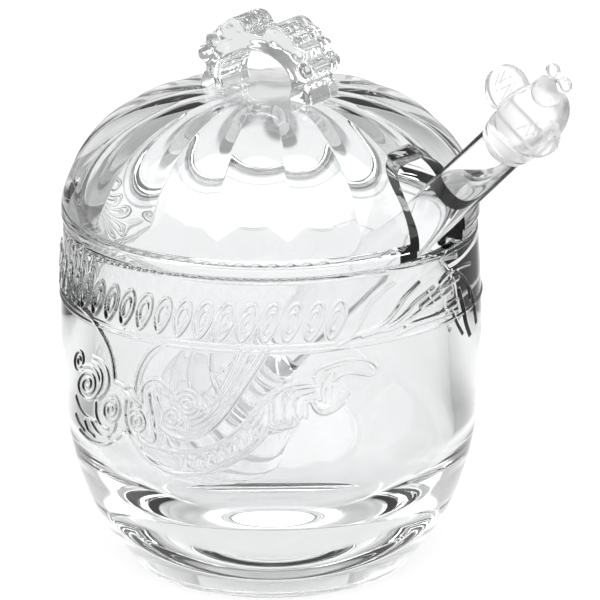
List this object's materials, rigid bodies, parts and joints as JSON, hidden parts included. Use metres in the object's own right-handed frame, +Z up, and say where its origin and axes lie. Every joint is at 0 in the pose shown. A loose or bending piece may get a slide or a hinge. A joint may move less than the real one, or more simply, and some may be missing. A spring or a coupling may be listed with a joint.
{
  "type": "honey pot",
  "caption": "Clear pressed-glass honey pot: egg-shaped jar with scroll relief, loose lobed lid with an arched handle, and a honey dipper topped by a bee.",
  "frame": {"origin": "centre of the foot, on the surface the pot stands on, on the jar's own axis", "axes": "+Z up along the jar's axis, -Y towards the front, which carries the widest stretch of the relief, +X to the right as seen from the front; the dipper leans out to the front right"},
  "size_m": [0.118, 0.107, 0.1353],
  "materials": {
    "jar": "polished",
    "lid_dome": "polished",
    "lid_handle": "polished",
    "dipper_shaft": "polished",
    "dipper_head": "polished",
    "bee_body": "polished",
    "bee_head": "polished",
    "bee_wing_left": "polished",
    "bee_wing_right": "polished",
    "bee_antenna_left": "polished",
    "bee_antenna_right": "polished"
  },
  "bodies": {
    "pot": {"jar": "jar"},
    "lid": {"lid_dome": "lid_dome", "lid_handle": "lid_handle"},
    "dipper": {"dipper_shaft": "dipper_shaft", "dipper_head": "dipper_head", "bee_body": "bee_body", "bee_head": "bee_head", "bee_wing_left": "bee_wing_left", "bee_wing_right": "bee_wing_right", "bee_antenna_left": "bee_antenna_left", "bee_antenna_right": "bee_antenna_right"}
  },
  "joints": [
    {"name": "lid_lift", "type": "slide", "parent": "pot", "child": "lid", "axis": [0, 0, 1], "range_m": [0, 0.1]},
    {"name": "dipper_draw", "type": "slide", "parent": "pot", "child": "dipper", "axis": [0.564, -0.4406, 0.6984], "range_m": [0, 0.045]}
  ]
}
